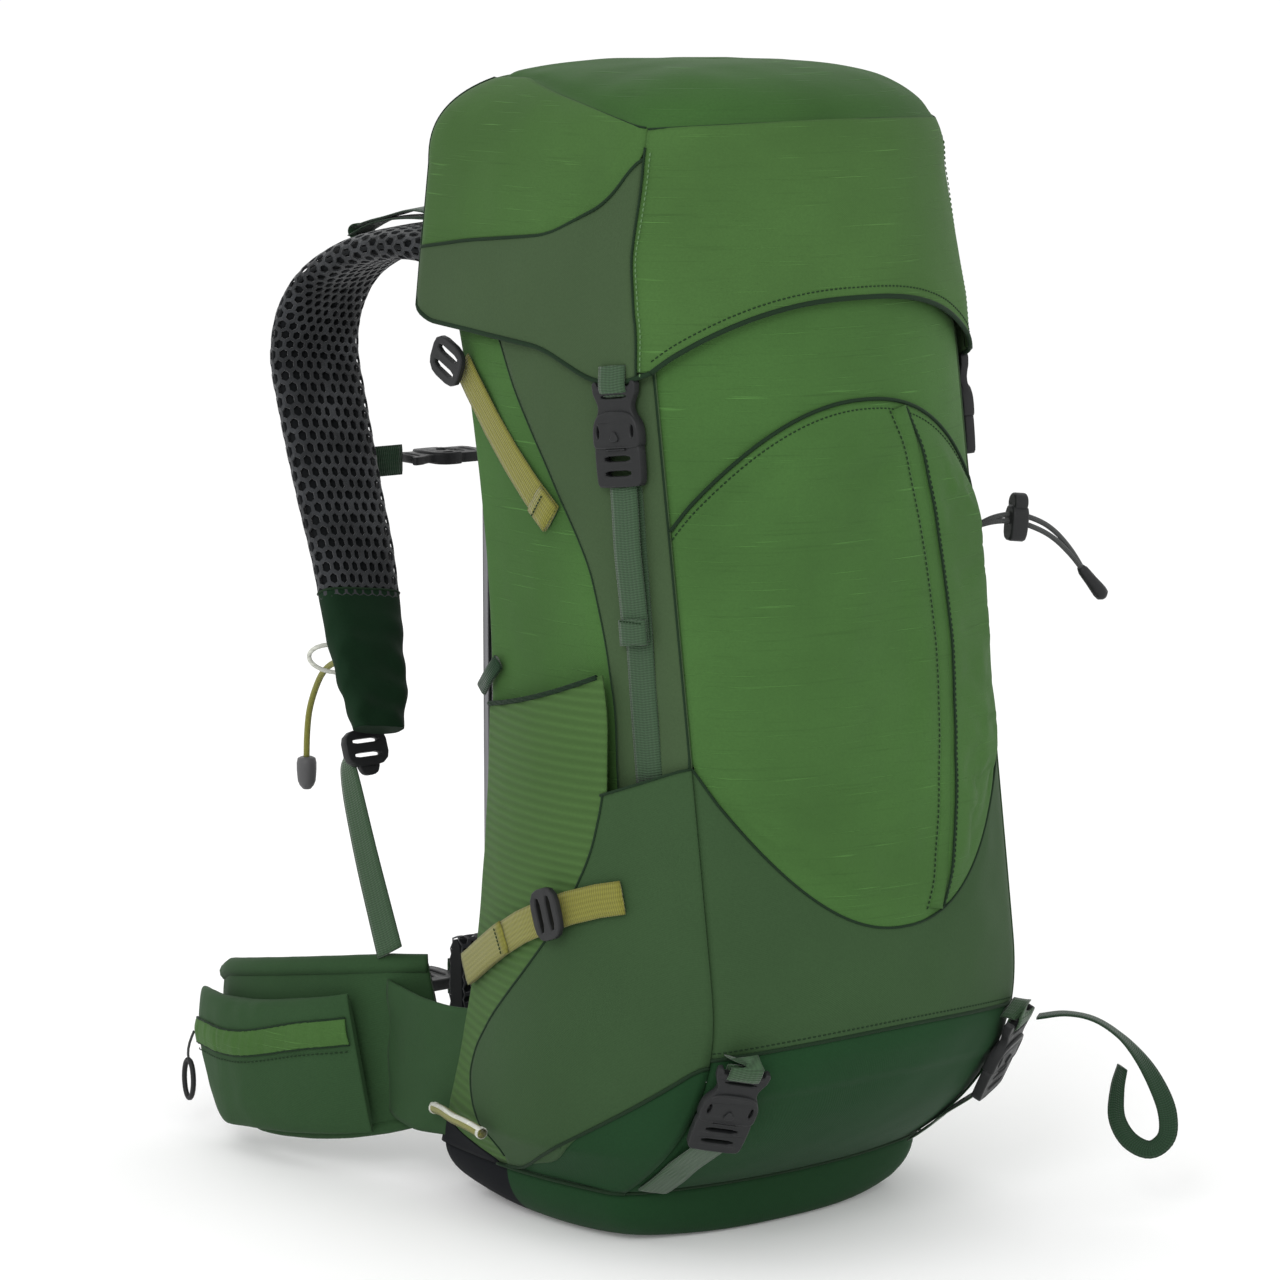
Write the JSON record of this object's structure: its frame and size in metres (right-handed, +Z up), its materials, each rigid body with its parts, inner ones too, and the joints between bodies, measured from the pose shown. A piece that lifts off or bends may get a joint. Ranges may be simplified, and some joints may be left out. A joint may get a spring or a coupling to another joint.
{
  "type": "hiking backpack",
  "caption": "Stuffed hiking backpack with a hinged lid, hoop frame and mesh back, adjustable shoulder harness, sternum strap, hip belt wings and compression straps.",
  "frame": {"origin": "on the floor under the middle of the bag's base, on its centre plane", "axes": "+Z up, -Y towards the front pocket, +Y towards the wearer's back, +X to the right as seen from the front"},
  "size_m": [0.3966, 0.6135, 0.7059],
  "materials": {
    "fabric_bright": "ripstop nylon, mid green, slight sheen",
    "fabric_dark": "plain nylon, dark green",
    "lining": "thin coated nylon, near black green",
    "mesh": "hexagonal spacer mesh over foam, charcoal",
    "webbing_green": "woven nylon webbing, green",
    "webbing_olive": "woven nylon webbing and cord, olive yellow",
    "zip": "coated zip tape and coil",
    "buckle": "moulded acetal, dark grey",
    "cord": "braided elastic cord, dark grey",
    "frame_metal": "satin aluminium rod"
  },
  "bodies": {
    "root": {"front_panel": "fabric_bright", "lower_front_panel": "fabric_dark", "left_side_panel": "fabric_bright", "right_side_panel": "fabric_bright", "back_panel": "lining", "base_panel": "fabric_dark", "collar": "lining", "collar_drawcord": "cord", "collar_cord_lock": "buckle", "front_pocket": "fabric_bright", "front_pocket_zip": "zip", "left_stretch_pocket": "fabric_bright", "right_stretch_pocket": "fabric_bright", "frame": "frame_metal", "back_mesh": "mesh", "lumbar_pad": "mesh", "haul_loop": "webbing_green", "lid_straps": "webbing_green", "upper_compression_straps": "webbing_olive", "compression_strap_sliders": "buckle", "lower_compression_straps": "webbing_olive", "pad_straps": "webbing_green", "pad_strap_sockets": "buckle", "ice_axe_loop": "webbing_green", "bungee_cord": "cord", "bungee_lock": "buckle", "bungee_pull": "buckle", "pole_loop": "webbing_olive", "shoulder_webbing": "webbing_green"},
    "lid": {"lid_shell": "fabric_bright", "lid_floor": "lining", "lid_zip": "zip", "lid_buckle_webbing": "webbing_green", "lid_buckle_sockets": "buckle"},
    "left_lid_clip": {"left_lid_plug": "buckle", "left_lid_strap_tail": "webbing_green"},
    "right_lid_clip": {"right_lid_plug": "buckle", "right_lid_strap_tail": "webbing_green"},
    "left_pad_clip": {"left_pad_plug": "buckle"},
    "right_pad_clip": {"right_pad_plug": "buckle"},
    "harness": {"yoke": "mesh", "left_shoulder_strap": "mesh", "right_shoulder_strap": "mesh", "strap_ladder_locks": "buckle", "load_lifters": "webbing_green", "stow_cord": "webbing_olive", "stow_toggle": "buckle"},
    "sternum_left": {"sternum_left_webbing": "webbing_green", "sternum_socket": "buckle"},
    "sternum_right": {"sternum_right_webbing": "webbing_green"},
    "sternum_clip": {"sternum_plug": "buckle"},
    "left_wing": {"left_hip_wing": "fabric_dark", "left_hip_pocket": "fabric_dark", "left_hip_webbing": "webbing_green", "left_hip_socket": "buckle"},
    "right_wing": {"right_hip_wing": "fabric_dark", "right_hip_pocket": "fabric_dark", "right_hip_webbing": "webbing_green", "right_hip_plug": "buckle"}
  },
  "joints": [
    {"name": "lid_hinge", "type": "hinge", "parent": "root", "child": "lid", "pos_m": [0, 0.182, 0.604], "axis": [-1, 0, 0], "range_deg": [0, 85]},
    {"name": "left_lid_clip_release", "type": "slide", "parent": "root", "child": "left_lid_clip", "axis": [0, -0.1219, -0.9925], "range_m": [0, 0.015]},
    {"name": "right_lid_clip_release", "type": "slide", "parent": "root", "child": "right_lid_clip", "axis": [0, -0.1219, -0.9925], "range_m": [0, 0.015]},
    {"name": "left_pad_clip_release", "type": "slide", "parent": "root", "child": "left_pad_clip", "axis": [0, 0.5, -0.866], "range_m": [0, 0.015]},
    {"name": "right_pad_clip_release", "type": "slide", "parent": "root", "child": "right_pad_clip", "axis": [0, 0.5, -0.866], "range_m": [0, 0.015]},
    {"name": "torso_adjust", "type": "slide", "parent": "root", "child": "harness", "axis": [0, 0, 1], "range_m": [-0.08, 0], "deforming": ["shoulder_webbing"]},
    {"name": "sternum_height", "type": "slide", "parent": "harness", "child": "sternum_left", "axis": [0, 0.4472, 0.8944], "range_m": [-0.02, 0.02]},
    {"name": "sternum_height_right", "type": "slide", "parent": "harness", "child": "sternum_right", "axis": [0, 0.4472, 0.8944], "range_m": [-0.02, 0.02]},
    {"name": "sternum_release", "type": "slide", "parent": "sternum_right", "child": "sternum_clip", "axis": [1, 0, 0], "range_m": [0, 0.015]},
    {"name": "left_wing_swing", "type": "hinge", "parent": "root", "child": "left_wing", "pos_m": [-0.108, 0.2, 0.09], "axis": [0, 0, 1], "range_deg": [-4, 25]},
    {"name": "right_wing_swing", "type": "hinge", "parent": "root", "child": "right_wing", "pos_m": [0.108, 0.2, 0.09], "axis": [0, 0, -1], "range_deg": [-4, 25]}
  ],
  "couplings": [
    {"joint": "sternum_height_right", "follows": "sternum_height", "ratio": 1}
  ]
}
